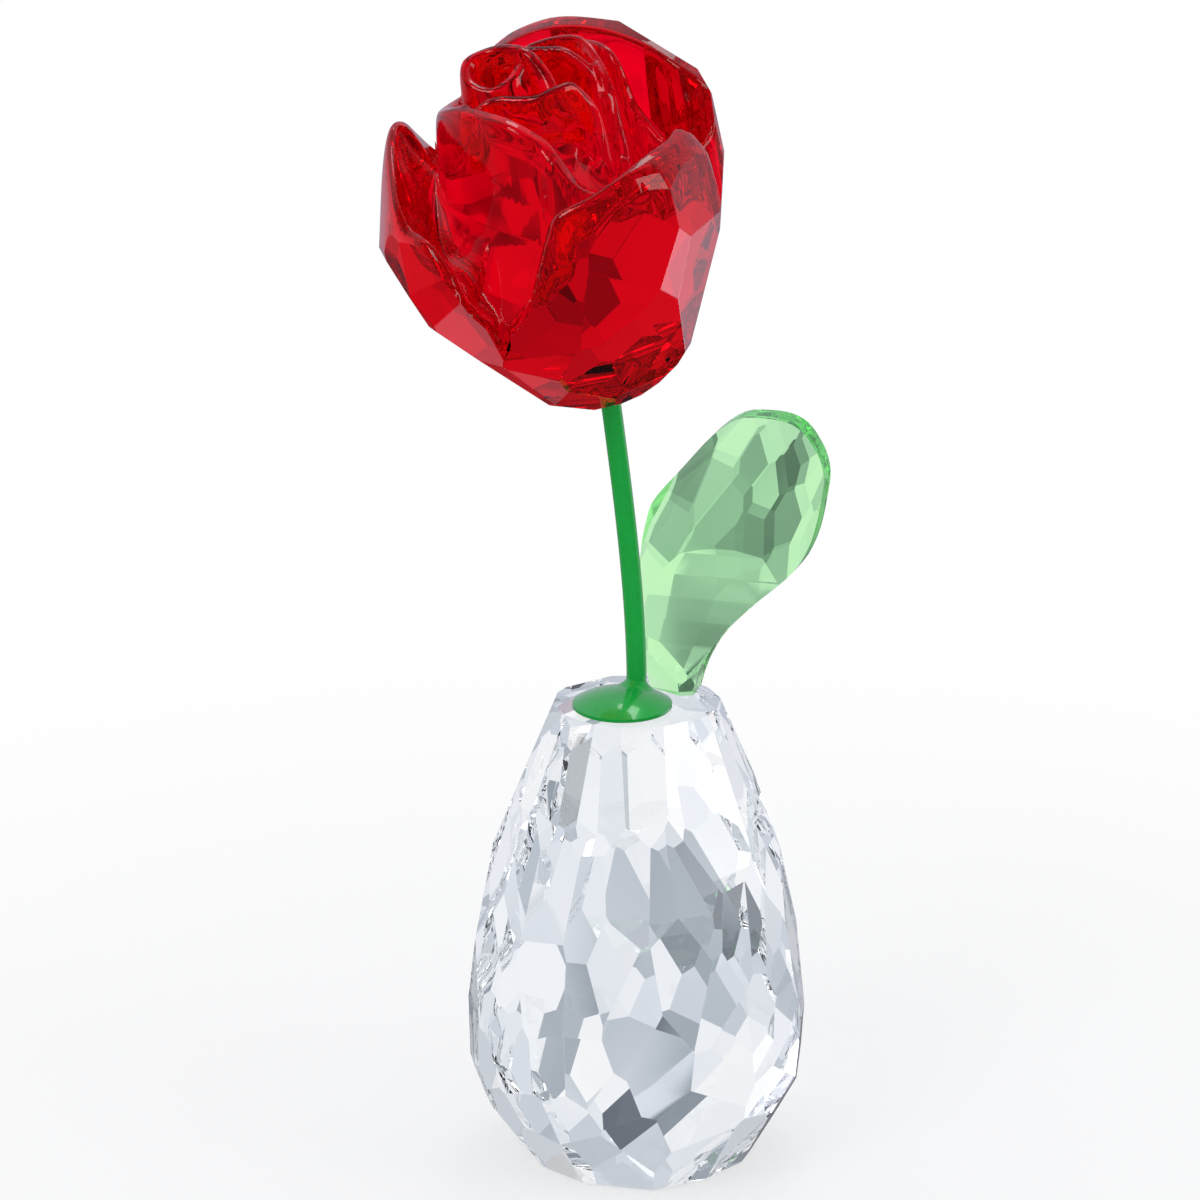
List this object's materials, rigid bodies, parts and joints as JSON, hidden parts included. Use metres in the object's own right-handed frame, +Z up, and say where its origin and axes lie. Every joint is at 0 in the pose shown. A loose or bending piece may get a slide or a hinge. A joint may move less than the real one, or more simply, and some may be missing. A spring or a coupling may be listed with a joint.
{
  "type": "crystal rose figurine",
  "caption": "Free-standing cut crystal rose on a lacquered stem, with a crystal leaf, glued on a clear faceted egg-shaped vase.",
  "frame": {"origin": "centre of the vase's flat base, on the surface that it stands on", "axes": "+Z up, +X to the right and -Y towards the viewer when the leaf stands at the right and the bloom leans to the left"},
  "size_m": [0.0407, 0.0319, 0.1061],
  "materials": {
    "red_crystal": "polished, transparent, cut and pressed",
    "green_crystal": "polished, transparent, cut facets",
    "clear_crystal": "polished, transparent, cut facets",
    "green_lacquer": "gloss lacquer",
    "clear_glue": "clear set adhesive"
  },
  "bodies": {
    "root": {"rose_head": "red_crystal", "stem_rod": "green_lacquer", "stem_foot": "green_lacquer", "leaf": "green_crystal", "vase": "clear_crystal", "foot_bond": "clear_glue", "leaf_bond": "clear_glue"}
  },
  "joints": []
}
